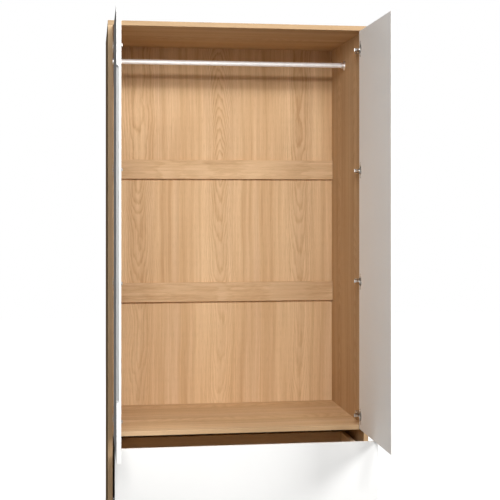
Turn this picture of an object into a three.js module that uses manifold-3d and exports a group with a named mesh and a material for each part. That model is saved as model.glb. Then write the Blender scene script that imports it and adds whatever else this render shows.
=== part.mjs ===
// A chifforobe: a hanging closet behind two inset doors, over one deep drawer.
// Oak boards inside, white fronts, concealed hinges and telescopic runners.
// Millimetres, +Z up, the front faces -Y. Both doors stand open and the drawer is pulled out.
import * as THREE from "three";
import { mergeVertices } from "three/addons/utils/BufferGeometryUtils.js";
import Module from "manifold-3d";

const wasm = await Module();
wasm.setup();

// Carcass
const WIDTH = 1000;
const HEIGHT = 2000;
const DEPTH = 610;
const BOARD = 18; // sides, top, closet floor, bottom and plinth
const ARRIS = 1; // rounding of the boards' front edges
const SEAT = 0.3; // joint line between two pieces that meet
const CLOSET_SHARE = 0.765; // clear height between closet floor and top, of the whole height
const FLOOR_SETBACK = 23; // closet floor and bottom behind the front plane
const BACK = 8; // thickness of the back panels
const BACK_INSET = 2; // back panels ahead of the rear edges
const BACK_REBATE = 9; // how far the back panels reach into sides and top
const BATTEN = 16;
const BATTEN_HEIGHT = 82;
const LOWER_BATTEN_SHARE = 0.2876; // its lower edge above the closet floor, of the closet's height
const UPPER_BATTEN_SHARE = 0.632;
const PLINTH_HEIGHT = 80;
const PLINTH_SETBACK = 40;
const GLIDE_HEIGHT = 3;
const GLIDE_RADIUS = 8;
const GLIDE_END = 45; // a glide's centre from the side's front or rear edge

// Hanging rail
const RAIL_RADIUS = 10;
const RAIL_WALL = 1.2;
const RAIL_DROP = 94; // its axis under the top
const RAIL_BACK = 345; // its axis behind the front plane
const SOCKET_RADIUS = 20;
const SOCKET_PLATE = 3;
const SOCKET_WALL = 2.6;
const SOCKET_LENGTH = 15;
const SOCKET_EDGE = 1.2;

// Doors and the drawer's front
const DOOR = 16;
const GAP = 3; // round the fronts and between them
const SPLIT_DROP = 11.5; // middle of the gap between doors and drawer, under the closet floor's top
const DOOR_OPEN = Math.PI / 2;
const PULL_MARGIN = 204; // plain edge above and below the finger pull
const PULL_LAND = 8; // outer face to the land that stays on the edge
const PULL_STEP = 11;
const PULL_REACH = 21;
const PULL_COVE = 3;
const PULL_RUNOUT = 9; // length of each rounded end
const PULL_END_LIFT = 5; // how much shallower the pull is at its ends

// Concealed hinges
const HINGE_SHARES = [0.0325, 0.371, 0.6495, 0.954]; // centres above the door's lower edge, of its height
const CUP_RADIUS = 17.5;
const CUP_EDGE = 2.5; // wood between the cup's bore and the door's edge
const CUP_BORE = 13;
const CUP_WALL = 0.6;
const CUP_FLOOR = 0.6;
const CUP_FLANGE = 1;
const CUP_LIP = 0.9; // the flange beyond the bore
const CUP_WING = 31; // half length of the flange's wings
const CUP_WING_WIDTH = 15;
const CUP_WING_RADIUS = 5;
const CUP_PIN_EDGE = 5.2; // pin in the cup, from the door's edge
const CUP_PIN_DEPTH = 5.35; // pin in the cup, under the door's inner face
const CUP_PIN_RADIUS = 0.8;
const ARM_PIN_IN = 34.7; // pin on the arm, from the side's inner face
const ARM_PIN_DEPTH = 8; // pin on the arm, before the closed door's inner face
const ARM_PIN_RADIUS = 1;
const ARM_PIN_HEAD = 0.3; // riveted ends outside the cheeks
const PIN_PLAY = 0.2;
const LINK_TURN_SHARE = 0.48; // the link's turn against the door's
const LINK_HALF = 1.1;
const LINK_SLIM = 4.4; // width at the cup
const LINK_WIDE = 9.2; // width between the arm's cheeks
const LINK_EYE_WALL = 0.3;
const LINK_BOSS_WALL = 1.1;
const ARM_WIDTH = 12;
const ARM_SHEET = 1.2;
const ARM_NOSE = 2.4;
const ARM_REAR = 86; // rear end behind the front plane
const ARM_HEIGHT = 15;
const ARM_SLOT = 5; // width of the slot for the fixing screw
const ARM_SLOT_LENGTH = 13;
const ARM_SLOT_END = 6; // metal left behind the slot
const PLATE = 2.5;
const PLATE_FRONT = 42;
const PLATE_LENGTH = 34;
const PLATE_WING = 20;
const PLATE_SPAN = 48;

// Drawer
const DRAWER_OUT = 235;
const DRAWER_SIDE = 16;
const DRAWER_LENGTH = 510; // box behind the front
const DRAWER_LIFT = 14; // box above the carcass bottom
const DRAWER_DROP = 62; // box under the front's upper edge
const DRAWER_FLOOR = 6; // the drawer's bottom where it runs in the grooves
const DRAWER_FLOOR_FIELD = 2; // thicker by this between the sides
const DRAWER_FLOOR_RISE = 12;
const DRAWER_GROOVE = 6;
const DRAWER_ARRIS = 2;

// Telescopic runners
const RUNNER_LENGTH = 500;
const RUNNER_START = 22; // behind the front plane
const RUNNER_RISE = 70; // centre above the drawer box's lower edge
const RUNNER_HEIGHT = 45;
const RUNNER_THICK = 12.7;
const RUNNER_SHEET = 1.4;
const RUNNER_PLAY = 0.45;
const RUNNER_LIP = 1.6;
const RUNNER_SLOT = 4.6; // width of a screw slot
const RUNNER_SLOT_LENGTH = 9;
const RUNNER_SLOT_SHARES = [0.074, 0.42, 0.85]; // slot centres along the runner

// Sizes that follow
const INNER_WIDTH = WIDTH - 2 * BOARD;
const TOP_UNDER = HEIGHT - BOARD;
const CLOSET_HEIGHT = CLOSET_SHARE * HEIGHT;
const FLOOR_TOP = TOP_UNDER - CLOSET_HEIGHT;
const BOTTOM_TOP = PLINTH_HEIGHT + BOARD;
const BACK_FACE = DEPTH - BACK_INSET - BACK;
const SPLIT = FLOOR_TOP - SPLIT_DROP;
const DOOR_BOTTOM = SPLIT + GAP / 2;
const DOOR_HEIGHT = TOP_UNDER - GAP - DOOR_BOTTOM;
const DOOR_WIDTH = (INNER_WIDTH - 3 * GAP) / 2;
const HINGE_RISES = HINGE_SHARES.map((share) => share * DOOR_HEIGHT);
const DRAWER_TOP = SPLIT - GAP / 2;

// The hinge's pins, x inwards from the side's inner face and y behind the front plane.
const armPin = new THREE.Vector2(ARM_PIN_IN, DOOR - ARM_PIN_DEPTH);
const cupPin = new THREE.Vector2(GAP + CUP_PIN_EDGE, DOOR - CUP_PIN_DEPTH);
const linkTurn = LINK_TURN_SHARE * DOOR_OPEN;
const cupPinOpen = cupPin.clone().rotateAround(armPin, linkTurn);
const doorCorner = new THREE.Vector2(-CUP_PIN_EDGE, CUP_PIN_DEPTH - DOOR)
  .rotateAround(new THREE.Vector2(), -DOOR_OPEN)
  .add(cupPinOpen);

const finish = (color, roughness, metalness = 0) => ({ color, roughness, metalness });
const OAK = finish(0xdcb68a, 0.55);
const OAK_BACK = finish(0xd6ae80, 0.6);
const WHITE = finish(0xf4f3f0, 0.35);
const RAIL_METAL = finish(0xe6e6e8, 0.25, 0.9);
const NICKEL = finish(0xb9b8b4, 0.3, 0.95);
const ZINC = finish(0x9a9ca0, 0.4, 0.9);
const PLASTIC = finish(0x2a2a2c, 0.6);

function addMesh(parent, name, geometry, look, x = 0, y = 0, z = 0) {
  const mesh = new THREE.Mesh(geometry, new THREE.MeshStandardMaterial(look));
  mesh.name = name;
  mesh.position.set(x, y, z);
  parent.add(mesh);
  return mesh;
}

// Geometry to solid and back, for cuts and joins.
function toSolid(geometry) {
  const bare = geometry.index ? geometry.toNonIndexed() : geometry.clone();
  bare.deleteAttribute("normal");
  bare.deleteAttribute("uv");
  const merged = mergeVertices(bare);
  const faces = [];
  for (let i = 0; i < merged.index.count; i += 3) {
    const face = [0, 1, 2].map((k) => merged.index.getX(i + k));
    if (new Set(face).size === 3) faces.push(...face);
  }
  return new wasm.Manifold(
    new wasm.Mesh({
      numProp: 3,
      vertProperties: merged.attributes.position.array,
      triVerts: new Uint32Array(faces),
    }),
  );
}

function toGeometry(solid) {
  const made = solid.getMesh();
  const geometry = new THREE.BufferGeometry();
  geometry.setAttribute("position", new THREE.BufferAttribute(made.vertProperties, made.numProp));
  geometry.setIndex(new THREE.BufferAttribute(made.triVerts, 1));
  geometry.computeVertexNormals();
  return geometry;
}

const join = (...parts) => parts.map(toSolid).reduce((all, one) => all.add(one));
const cut = (solid, ...tools) => tools.map(toSolid).reduce((rest, tool) => rest.subtract(tool), solid);

// An outline pushed along Z, or turned to run along X (outline x to Y, y to Z) or along Y (x to Z, y to X).
function extrude(shape, length, curveSegments = 1) {
  return new THREE.ExtrudeGeometry(shape, { depth: length, bevelEnabled: false, curveSegments });
}
const alongX = (shape, length, segments) =>
  extrude(shape, length, segments).rotateY(Math.PI / 2).rotateX(Math.PI / 2);
const alongY = (shape, length, segments) =>
  extrude(shape, length, segments).rotateX(-Math.PI / 2).rotateY(-Math.PI / 2);

function roundedRectangle(width, height, radius) {
  const shape = new THREE.Shape();
  shape.absarc(width - radius, radius, radius, -Math.PI / 2, 0);
  shape.absarc(width - radius, height - radius, radius, 0, Math.PI / 2);
  shape.absarc(radius, height - radius, radius, Math.PI / 2, Math.PI);
  shape.absarc(radius, radius, radius, Math.PI, 1.5 * Math.PI);
  shape.closePath();
  return shape;
}

// A board seen on its end: front edge at x = 0 with rounded arrises, inner face at y = 0,
// and a rebate for the back panels in the rear of the inner face.
function rebatedEdge() {
  const rebate = BACK + BACK_INSET + SEAT;
  const shape = new THREE.Shape();
  shape.absarc(ARRIS, ARRIS, ARRIS, Math.PI, 1.5 * Math.PI);
  shape.lineTo(DEPTH - rebate, 0);
  shape.lineTo(DEPTH - rebate, BACK_REBATE + SEAT);
  shape.lineTo(DEPTH, BACK_REBATE + SEAT);
  shape.lineTo(DEPTH, BOARD);
  shape.absarc(ARRIS, BOARD - ARRIS, ARRIS, Math.PI / 2, Math.PI);
  shape.closePath();
  return shape;
}

const pinAlongZ = (radius, length, sides = 10) =>
  new THREE.CylinderGeometry(radius, radius, length, sides).rotateX(Math.PI / 2);

// A tool for a round-ended slot through a sheet that lies across X, long in Y, centred on Y and Z.
function slotTool(width, length, thickness) {
  const radius = width / 2;
  const shape = new THREE.Shape();
  shape.absarc(length - radius, 0, radius, -Math.PI / 2, Math.PI / 2);
  shape.absarc(radius, 0, radius, Math.PI / 2, 1.5 * Math.PI);
  shape.closePath();
  return alongX(shape, thickness, 3).translate(0, -length / 2, 0);
}

const chifforobe = new THREE.Group();
// The origin lies on the floor, midway between the open doors' free edges and the rear edges.
const frontReach = DOOR_WIDTH - doorCorner.y;
chifforobe.position.y = (frontReach - DEPTH) / 2;

// One group for each side: x runs inwards from the side's inner face, and the right one is the mirror image.
function onBothSides(parent, build) {
  for (const [side, sign] of [["left", 1], ["right", -1]]) {
    const half = new THREE.Group();
    half.position.x = (-sign * INNER_WIDTH) / 2;
    half.scale.x = sign;
    parent.add(half);
    build(half, side);
  }
}

// Sides: full height under the top, standing on two glides each.
const sideHeight = TOP_UNDER - SEAT - GLIDE_HEIGHT;
const glideProfile = [
  [0, 0],
  [GLIDE_RADIUS - ARRIS, 0],
  [GLIDE_RADIUS, ARRIS],
  [GLIDE_RADIUS, GLIDE_HEIGHT - SEAT],
  [0, GLIDE_HEIGHT - SEAT],
].map(([r, y]) => new THREE.Vector2(r, y));
onBothSides(chifforobe, (half, side) => {
  const panel = extrude(rebatedEdge(), sideHeight).rotateZ(Math.PI / 2);
  addMesh(half, `side_panel_${side}`, panel, OAK, 0, 0, GLIDE_HEIGHT);
  for (const [end, y] of [["front", GLIDE_END], ["rear", DEPTH - GLIDE_END]]) {
    const glide = toGeometry(toSolid(new THREE.LatheGeometry(glideProfile, 16).rotateX(Math.PI / 2)));
    addMesh(half, `glide_${end}_${side}`, glide, PLASTIC, -BOARD / 2, y, 0);
  }
});

// Top: lies on both sides, with the same rebate.
const topPanel = alongX(rebatedEdge(), WIDTH);
addMesh(chifforobe, "top_panel", topPanel, OAK, -WIDTH / 2, 0, TOP_UNDER);

// Closet floor and bottom: between the sides, set back behind the fronts.
const betweenSides = INNER_WIDTH - 2 * SEAT;
const shelfDepth = BACK_FACE - SEAT - FLOOR_SETBACK;
for (const [name, top] of [["closet_floor", FLOOR_TOP], ["bottom_panel", BOTTOM_TOP]]) {
  const shelf = alongX(roundedRectangle(shelfDepth, BOARD, ARRIS), betweenSides);
  addMesh(chifforobe, name, shelf, OAK, -betweenSides / 2, FLOOR_SETBACK, top - BOARD);
}

// Plinth: two boards on edge under the bottom.
const plinthBoard = PLINTH_HEIGHT - SEAT - GLIDE_HEIGHT;
for (const [name, y] of [["plinth_front", PLINTH_SETBACK], ["plinth_rear", BACK_FACE - PLINTH_SETBACK]]) {
  const board = alongX(roundedRectangle(BOARD, plinthBoard, ARRIS), betweenSides);
  addMesh(chifforobe, name, board, OAK, -betweenSides / 2, y, GLIDE_HEIGHT);
}

// Back panels: they sit in the rebates and meet behind the battens and the closet floor.
const backWidth = INNER_WIDTH + 2 * BACK_REBATE;
const lowerBatten = FLOOR_TOP + LOWER_BATTEN_SHARE * CLOSET_HEIGHT;
const upperBatten = FLOOR_TOP + UPPER_BATTEN_SHARE * CLOSET_HEIGHT;
const backEdges = [
  GLIDE_HEIGHT,
  FLOOR_TOP - BOARD / 2,
  lowerBatten + BATTEN_HEIGHT / 2,
  upperBatten + BATTEN_HEIGHT / 2,
  TOP_UNDER + BACK_REBATE + SEAT,
];
["back_panel_drawer_bay", "back_panel_lower", "back_panel_middle", "back_panel_upper"].forEach((name, i) => {
  const height = backEdges[i + 1] - backEdges[i] - SEAT;
  const panel = alongX(roundedRectangle(BACK, height, ARRIS), backWidth);
  addMesh(chifforobe, name, panel, OAK_BACK, -backWidth / 2, BACK_FACE, backEdges[i]);
});

// Battens: across the joints of the back panels, on their inner face.
for (const [name, z] of [["back_batten_lower", lowerBatten], ["back_batten_upper", upperBatten]]) {
  const batten = alongX(roundedRectangle(BATTEN, BATTEN_HEIGHT, ARRIS), betweenSides);
  addMesh(chifforobe, name, batten, OAK, -betweenSides / 2, BACK_FACE - SEAT - BATTEN, z);
}

// Hanging rail: a tube held in a cup-shaped socket at each side.
const railHeight = TOP_UNDER - RAIL_DROP;
const railStart = SEAT + SOCKET_PLATE + SEAT;
const railLength = INNER_WIDTH - 2 * railStart;
const railSection = new THREE.Shape().absarc(0, 0, RAIL_RADIUS, 0, 2 * Math.PI);
railSection.holes.push(new THREE.Path().absarc(0, 0, RAIL_RADIUS - RAIL_WALL, 0, 2 * Math.PI));
const rail = alongX(railSection, railLength, 14);
addMesh(chifforobe, "hanging_rail", rail, RAIL_METAL, -railLength / 2, RAIL_BACK, railHeight);

const socketProfile = [
  [0, 0],
  [SOCKET_RADIUS, 0],
  [SOCKET_RADIUS, SOCKET_PLATE - SOCKET_EDGE],
  [SOCKET_RADIUS - SOCKET_EDGE, SOCKET_PLATE],
  [RAIL_RADIUS + SEAT + SOCKET_WALL, SOCKET_PLATE],
  [RAIL_RADIUS + SEAT + SOCKET_WALL, SOCKET_LENGTH - SOCKET_EDGE],
  [RAIL_RADIUS + SEAT + SOCKET_WALL - SOCKET_EDGE, SOCKET_LENGTH],
  [RAIL_RADIUS + SEAT, SOCKET_LENGTH],
  [RAIL_RADIUS + SEAT, SOCKET_PLATE],
  [0, SOCKET_PLATE],
].map(([r, y]) => new THREE.Vector2(r, y));
onBothSides(chifforobe, (half, side) => {
  const socket = toGeometry(toSolid(new THREE.LatheGeometry(socketProfile, 24).rotateZ(-Math.PI / 2)));
  addMesh(half, `rail_socket_${side}`, socket, RAIL_METAL, SEAT, RAIL_BACK, railHeight);
});

// Door: x from its hinge edge, y from its outer face. Four bores take the hinge cups, and a finger pull
// with a cove is milled into the outer half of the free edge.
function doorGeometry() {
  const blank = extrude(roundedRectangle(DOOR_WIDTH, DOOR, ARRIS), DOOR_HEIGHT);
  const cupBores = HINGE_RISES.map((rise) =>
    new THREE.CylinderGeometry(CUP_RADIUS, CUP_RADIUS, 2 * CUP_BORE, 32).translate(CUP_EDGE + CUP_RADIUS, DOOR, rise),
  );
  const slope = (PULL_REACH - PULL_STEP) / PULL_LAND;
  const clear = 2 * PULL_END_LIFT + ARRIS;
  const pull = new THREE.Shape();
  pull.moveTo(DOOR_WIDTH + clear, PULL_LAND);
  pull.lineTo(DOOR_WIDTH - PULL_STEP + PULL_COVE, PULL_LAND);
  pull.quadraticCurveTo(
    DOOR_WIDTH - PULL_STEP,
    PULL_LAND,
    DOOR_WIDTH - PULL_STEP - (slope * PULL_COVE) / 2,
    PULL_LAND - PULL_COVE / 2,
  );
  pull.lineTo(DOOR_WIDTH - PULL_REACH - slope * clear, -clear);
  pull.lineTo(DOOR_WIDTH + clear, -clear);
  pull.closePath();
  const pullLength = DOOR_HEIGHT - 2 * PULL_MARGIN;
  const pullTool = new THREE.ExtrudeGeometry(pull, {
    depth: pullLength - 2 * PULL_RUNOUT,
    bevelThickness: PULL_RUNOUT,
    bevelSize: PULL_END_LIFT,
    bevelOffset: -PULL_END_LIFT,
    bevelSegments: 5,
    curveSegments: 5,
  }).translate(0, 0, PULL_MARGIN + PULL_RUNOUT);
  return toGeometry(cut(toSolid(blank), pullTool, ...cupBores));
}

// Hinge cup: a shell in the door's bore with a winged flange on the inner face and its pin across the mouth.
// x and z from the cup's axis, y from the door's inner face.
function flangeOutline() {
  const rim = CUP_RADIUS + CUP_LIP;
  const half = CUP_WING_WIDTH / 2;
  const turn = Math.asin(half / rim);
  const shape = new THREE.Shape();
  for (const way of [0, Math.PI]) {
    const side = Math.cos(way);
    const corner = new THREE.Vector2(half - CUP_WING_RADIUS, CUP_WING - CUP_WING_RADIUS).multiplyScalar(side);
    shape.absarc(0, 0, rim, way + turn - Math.PI / 2, way + Math.PI / 2 - turn);
    shape.absarc(corner.x, corner.y, CUP_WING_RADIUS, way, way + Math.PI / 2);
    shape.absarc(-corner.x, corner.y, CUP_WING_RADIUS, way + Math.PI / 2, way + Math.PI);
  }
  shape.closePath();
  return shape;
}

function cupGeometry() {
  const body = CUP_RADIUS - SEAT;
  const deep = CUP_BORE - SEAT;
  const flangeMiddle = (CUP_FLANGE + SEAT) / 2;
  const round = (radius, height) => new THREE.CylinderGeometry(radius, radius, height, 26);
  const plug = round(body, deep + flangeMiddle).translate(0, (flangeMiddle - deep) / 2, 0);
  const flange = alongY(flangeOutline(), CUP_FLANGE - SEAT, 4).rotateY(Math.PI / 2);
  const pocket = round(body - CUP_WALL, 2 * deep).translate(0, CUP_FLOOR, 0);
  const shell = cut(join(plug, flange.translate(0, SEAT, 0)), pocket);
  const pinLine = pinAlongZ(CUP_PIN_RADIUS, 2 * CUP_RADIUS);
  pinLine.translate(CUP_PIN_EDGE - CUP_EDGE - CUP_RADIUS, -CUP_PIN_DEPTH, 0);
  const pin = toSolid(pinLine).intersect(toSolid(round(body - CUP_WALL / 2, 2 * deep)));
  return toGeometry(shell.add(pin));
}

// A strap of even thickness along a smooth line through the given points.
function strap(points, half, steps) {
  const line = new THREE.SplineCurve(points);
  const near = [];
  const far = [];
  for (let i = 0; i <= steps; i += 1) {
    const at = line.getPoint(i / steps);
    const along = line.getTangent(i / steps).multiplyScalar(half);
    near.push(new THREE.Vector2(at.x + along.y, at.y - along.x));
    far.unshift(new THREE.Vector2(at.x - along.y, at.y + along.x));
  }
  return new THREE.Shape([...near, ...far]);
}

const centred = (shape, width) => extrude(shape, width).translate(0, 0, -width / 2);
const outline = (points) => new THREE.Shape(points.map(([x, y]) => new THREE.Vector2(x, y)));

// Hinge link: a hooked strap from the cup's pin to the arm's pin. It is drawn from the cup's pin at zero
// along x to the arm's pin, then laid as in the closed door, with its origin on the arm's pin. The hook
// dips round the cup's rim when the door is open, and the cup's end is the narrower one.
const LINK_PATH_SHARES = [
  [0, 0],
  [0.04, -0.11],
  [0.16, -0.175],
  [0.34, -0.16],
  [0.62, -0.06],
  [1, 0],
];
const LINK_NECK_SHARE = 0.36;
const LINK_SHOULDER_SHARE = 0.5;
function linkGeometry() {
  const reach = cupPin.clone().sub(armPin);
  const length = reach.length();
  const path = LINK_PATH_SHARES.map((share) => new THREE.Vector2(...share).multiplyScalar(length));
  const eye = CUP_PIN_RADIUS + PIN_PLAY + LINK_EYE_WALL;
  const boss = ARM_PIN_RADIUS + PIN_PLAY + LINK_BOSS_WALL;
  const blank = join(
    centred(strap(path, LINK_HALF, 12), LINK_WIDE),
    pinAlongZ(eye, LINK_WIDE),
    pinAlongZ(boss, LINK_WIDE).translate(length, 0, 0),
  );
  const bored = cut(
    blank,
    pinAlongZ(CUP_PIN_RADIUS + PIN_PLAY, 2 * LINK_WIDE),
    pinAlongZ(ARM_PIN_RADIUS + PIN_PLAY, 2 * LINK_WIDE).translate(length, 0, 0),
  );
  const plan = outline([
    [-LINK_WIDE, -LINK_SLIM / 2],
    [LINK_NECK_SHARE * length, -LINK_SLIM / 2],
    [LINK_SHOULDER_SHARE * length, -LINK_WIDE],
    [2 * length, -LINK_WIDE],
    [2 * length, LINK_WIDE],
    [LINK_SHOULDER_SHARE * length, LINK_WIDE],
    [LINK_NECK_SHARE * length, LINK_SLIM / 2],
    [-LINK_WIDE, LINK_SLIM / 2],
  ]);
  const across = centred(plan, 2 * length).rotateX(Math.PI / 2);
  const geometry = toGeometry(bored.intersect(toSolid(across)));
  return geometry.rotateZ(Math.atan2(-reach.y, -reach.x)).translate(reach.x, reach.y, 0);
}

// Hinge arm: a cranked channel of sheet metal on a winged mounting plate, with the link's pin across its nose.
// x inwards from the side's inner face, y behind the front plane.
const ARM_OUTER_SHARES = [
  [0, 0.66],
  [0.09, 0.47],
  [0.42, 0.29],
  [0.83, 0.14],
];
const ARM_INNER_SHARES = [
  [-0.28, 0.36],
  [0.2, 0.24],
  [0.55, 0.13],
  [0.72, 0.055],
];
function armGeometry() {
  const rise = armPin.x - ARM_HEIGHT;
  const run = ARM_REAR - armPin.y;
  const place = ([up, back]) => new THREE.Vector2(ARM_HEIGHT + up * rise, armPin.y + back * run);
  const outer = ARM_OUTER_SHARES.map(place);
  const foot = SEAT + PLATE / 2;
  const cheek = new THREE.Shape();
  cheek.moveTo(foot, ARM_REAR);
  cheek.lineTo(foot, PLATE_FRONT);
  cheek.splineThru(ARM_INNER_SHARES.map(place));
  cheek.absarc(armPin.x, armPin.y, ARM_NOSE, Math.PI, 2 * Math.PI);
  cheek.splineThru([...outer].reverse());
  cheek.lineTo(ARM_HEIGHT, ARM_REAR);
  cheek.closePath();
  const under = outer.map((p) => new THREE.Vector2(p.x - ARM_SHEET, p.y - ARM_SHEET));
  const webEnd = under[under.length - 1];
  const beyond = armPin.x + ARM_REAR;
  const hollow = new THREE.Shape();
  hollow.moveTo(-beyond, beyond);
  hollow.lineTo(under[0].x, beyond);
  hollow.lineTo(under[0].x, under[0].y);
  hollow.splineThru(under.slice(1));
  hollow.lineTo(beyond, webEnd.y);
  hollow.lineTo(beyond, -beyond);
  hollow.lineTo(-beyond, -beyond);
  hollow.closePath();
  const slot = slotTool(ARM_SLOT, ARM_SLOT_LENGTH, 3 * ARM_SHEET);
  slot.translate(ARM_HEIGHT - 2 * ARM_SHEET, ARM_REAR - ARM_SLOT_END - ARM_SLOT_LENGTH / 2, 0);
  const channel = cut(toSolid(centred(cheek, ARM_WIDTH)), centred(hollow, ARM_WIDTH - 2 * ARM_SHEET), slot);
  const plateWidth = ARM_WIDTH + 2 * ARM_SHEET;
  const base = alongX(roundedRectangle(PLATE_LENGTH, plateWidth, ARRIS), PLATE);
  const wings = alongX(roundedRectangle(PLATE_WING, PLATE_SPAN, PLATE_WING / 4), ARM_SHEET, 2);
  const wingFront = PLATE_FRONT + (PLATE_LENGTH - PLATE_WING) / 2;
  const rest = join(
    base.translate(SEAT, PLATE_FRONT, -plateWidth / 2),
    wings.translate(SEAT, wingFront, -PLATE_SPAN / 2),
    pinAlongZ(ARM_PIN_RADIUS, ARM_WIDTH + 2 * ARM_PIN_HEAD).translate(armPin.x, armPin.y, 0),
  );
  return toGeometry(channel.add(rest));
}

onBothSides(chifforobe, (half, side) => {
  const door = new THREE.Group();
  door.position.set(doorCorner.x, doorCorner.y, DOOR_BOTTOM);
  door.rotation.z = -DOOR_OPEN;
  half.add(door);
  addMesh(door, `door_${side}`, doorGeometry(), WHITE);
  const arm = armGeometry();
  const link = linkGeometry();
  const cup = cupGeometry();
  HINGE_RISES.forEach((rise, i) => {
    const z = DOOR_BOTTOM + rise;
    addMesh(half, `hinge_arm_${side}_${i + 1}`, arm, NICKEL, 0, 0, z);
    const turned = addMesh(half, `hinge_link_${side}_${i + 1}`, link, NICKEL, armPin.x, armPin.y, z);
    turned.rotation.z = linkTurn;
    addMesh(door, `hinge_cup_${side}_${i + 1}`, cup, NICKEL, CUP_EDGE + CUP_RADIUS, DOOR, rise);
  });
});

// Drawer, all in one group that slides out.
const drawer = new THREE.Group();
drawer.position.y = -DRAWER_OUT;
chifforobe.add(drawer);
const frontBottom = PLINTH_HEIGHT + GAP;
const frontWidth = INNER_WIDTH - 2 * GAP;
const frontHeight = DRAWER_TOP - frontBottom;
const front = alongX(roundedRectangle(DOOR, frontHeight, ARRIS), frontWidth);
addMesh(drawer, "drawer_front", front, WHITE, -frontWidth / 2, 0, frontBottom);

const boxBottom = BOTTOM_TOP + DRAWER_LIFT;
const boxHeight = DRAWER_TOP - DRAWER_DROP - boxBottom;
const boxStart = DOOR + SEAT;
const sideFace = SEAT + RUNNER_THICK + SEAT; // outer face of the drawer's side, from the carcass side
// Drawer side on its end: x upwards from the lower edge, y inwards, with a groove for the drawer's bottom.
function drawerSideEdge() {
  const groove = DRAWER_SIDE - DRAWER_GROOVE;
  const shape = new THREE.Shape();
  shape.absarc(boxHeight - DRAWER_ARRIS, DRAWER_ARRIS, DRAWER_ARRIS, -Math.PI / 2, 0);
  shape.absarc(boxHeight - DRAWER_ARRIS, DRAWER_SIDE - DRAWER_ARRIS, DRAWER_ARRIS, 0, Math.PI / 2);
  shape.lineTo(DRAWER_FLOOR_RISE + DRAWER_FLOOR + SEAT, DRAWER_SIDE);
  shape.lineTo(DRAWER_FLOOR_RISE + DRAWER_FLOOR + SEAT, groove);
  shape.lineTo(DRAWER_FLOOR_RISE - SEAT, groove);
  shape.lineTo(DRAWER_FLOOR_RISE - SEAT, DRAWER_SIDE);
  shape.lineTo(0, DRAWER_SIDE);
  shape.lineTo(0, 0);
  shape.closePath();
  return shape;
}
onBothSides(drawer, (half, side) => {
  const panel = alongY(drawerSideEdge(), DRAWER_LENGTH);
  addMesh(half, `drawer_side_${side}`, panel, OAK, sideFace, boxStart, boxBottom);
});
const boxInside = INNER_WIDTH - 2 * (sideFace + DRAWER_SIDE);
const drawerBackWidth = boxInside - 2 * SEAT;
// The bottom runs in the sides' grooves and under the drawer's back. Its field between them is thicker.
const bottomWidth = boxInside + 2 * (DRAWER_GROOVE - SEAT);
const fieldLength = DRAWER_LENGTH - DRAWER_SIDE - SEAT;
const fieldThick = DRAWER_FLOOR + DRAWER_FLOOR_FIELD;
const tongues = alongX(roundedRectangle(DRAWER_LENGTH, DRAWER_FLOOR, ARRIS), bottomWidth);
const field = alongX(roundedRectangle(fieldLength, fieldThick, ARRIS), drawerBackWidth);
const bottom = toGeometry(join(tongues, field.translate((bottomWidth - drawerBackWidth) / 2, 0, 0)));
addMesh(drawer, "drawer_bottom", bottom, OAK_BACK, -bottomWidth / 2, boxStart, boxBottom + DRAWER_FLOOR_RISE);
const backRise = DRAWER_FLOOR_RISE + DRAWER_FLOOR + SEAT;
const drawerBack = alongX(roundedRectangle(DRAWER_SIDE, boxHeight - backRise, DRAWER_ARRIS), drawerBackWidth);
const drawerBackY = boxStart + DRAWER_LENGTH - DRAWER_SIDE;
addMesh(drawer, "drawer_back", drawerBack, OAK, -drawerBackWidth / 2, drawerBackY, boxBottom + backRise);

// Telescopic runner, three channels nested in each other. Each channel on its end: x upwards from the
// runner's middle, y inwards, with lips that hold the next channel.
function channel(half, deep, lip) {
  const shape = new THREE.Shape();
  shape.moveTo(-half, 0);
  shape.lineTo(half, 0);
  shape.lineTo(half, deep);
  shape.lineTo(half - RUNNER_SHEET - lip, deep);
  shape.lineTo(half - RUNNER_SHEET - lip, deep - RUNNER_SHEET);
  shape.lineTo(half - RUNNER_SHEET, deep - RUNNER_SHEET);
  shape.lineTo(half - RUNNER_SHEET, RUNNER_SHEET);
  shape.lineTo(-half + RUNNER_SHEET, RUNNER_SHEET);
  shape.lineTo(-half + RUNNER_SHEET, deep - RUNNER_SHEET);
  shape.lineTo(-half + RUNNER_SHEET + lip, deep - RUNNER_SHEET);
  shape.lineTo(-half + RUNNER_SHEET + lip, deep);
  shape.lineTo(-half, deep);
  shape.closePath();
  return shape;
}
const step = RUNNER_SHEET + RUNNER_PLAY;
const outerHalf = RUNNER_HEIGHT / 2;
const outerDeep = RUNNER_THICK - RUNNER_SHEET;
const middleHalf = outerHalf - step;
const middleDeep = outerDeep - step - RUNNER_SHEET - RUNNER_PLAY;
const innerHalf = middleHalf - step - RUNNER_LIP;
const innerDeep = RUNNER_THICK - step - RUNNER_SHEET - RUNNER_PLAY;
const runnerHeight = boxBottom + RUNNER_RISE;
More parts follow.
